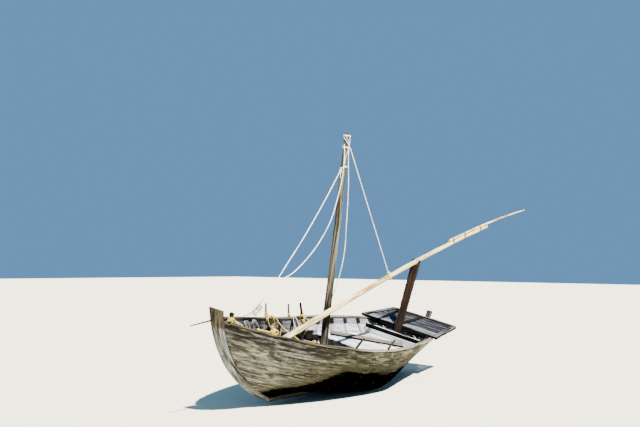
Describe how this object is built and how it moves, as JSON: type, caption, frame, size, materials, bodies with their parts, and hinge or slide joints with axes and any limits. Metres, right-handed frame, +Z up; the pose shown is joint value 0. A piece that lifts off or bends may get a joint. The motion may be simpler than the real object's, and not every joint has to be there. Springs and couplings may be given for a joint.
{
  "type": "planked double-ended sailing boat",
  "caption": "Open planked wooden boat, pointed at both ends, with pole mast, spar on a crutch and low stern platform, lying heeled on its bilge.",
  "frame": {"origin": "on the ground, below the middle of the overall box, the boat lying heeled to port on keel and bilge", "axes": "+X towards the bow, +Y to the port side, +Z up"},
  "size_m": [8.0675, 1.4508, 2.8592],
  "materials": {
    "hull_wood": "weathered, bare",
    "stem_wood": "weathered, bleached",
    "inner_wood": "weathered, grey",
    "deck_wood": "sun-bleached",
    "dark_wood": "dark, weathered",
    "mast_wood": "weathered round pole",
    "spar_wood": "peeled pale pole",
    "brown_wood": "dark brown",
    "iron": "rusted dark",
    "rope": "laid rope"
  },
  "bodies": {
    "hull": {"keel": "hull_wood", "stem": "stem_wood", "sternpost": "hull_wood", "garboard_port": "hull_wood", "garboard_starboard": "hull_wood", "topside_strake_port": "hull_wood", "topside_strake_starboard": "hull_wood", "sheer_strake_port": "hull_wood", "sheer_strake_starboard": "hull_wood", "bilge_strake_port_fore": "hull_wood", "bilge_strake_port_aft": "hull_wood", "gunwale_cap_port": "hull_wood", "riser_port": "inner_wood", "bilge_strake_starboard_fore": "hull_wood", "bilge_strake_starboard_aft": "hull_wood", "gunwale_cap_starboard": "hull_wood", "riser_starboard": "inner_wood", "rib_1": "inner_wood", "rib_2": "inner_wood", "rib_3": "inner_wood", "rib_4": "inner_wood", "rib_5": "inner_wood", "rib_6": "inner_wood", "rib_7": "inner_wood", "rib_8": "inner_wood", "rib_9": "inner_wood", "deck_board_1": "deck_wood", "deck_board_2": "deck_wood", "deck_board_3": "deck_wood", "deck_board_4": "deck_wood", "loose_board": "deck_wood", "aft_beam": "dark_wood", "bow_beam": "inner_wood", "mast_step": "inner_wood", "mast": "mast_wood", "mast_thwart": "inner_wood", "crutch": "brown_wood", "platform_front_beam": "dark_wood", "platform_rear_beam": "dark_wood", "platform_end_port": "dark_wood", "platform_end_starboard": "dark_wood", "platform_batten": "dark_wood", "platform_plank_1": "dark_wood", "platform_plank_2": "dark_wood", "platform_plank_3": "dark_wood", "platform_plank_4": "dark_wood", "thole_pin_port_fore": "mast_wood", "thole_pin_port_aft": "mast_wood", "thole_pin_starboard_fore": "mast_wood", "thole_pin_starboard_aft": "mast_wood", "breasthook": "hull_wood", "bow_post": "dark_wood", "belaying_pole": "brown_wood", "stem_spike": "iron", "forestay": "rope", "slack_line": "rope", "fall": "rope", "halyard": "rope"},
    "spar": {"spar_pole": "spar_wood", "spar_tip": "spar_wood"}
  },
  "joints": [
    {"name": "spar_lift", "type": "hinge", "parent": "hull", "child": "spar", "pos_m": [3.134, 0.12488, 0.59746], "axis": [-0.034, 0.9744, -0.2222], "range_deg": [0, 30], "deforming": ["halyard"]}
  ]
}
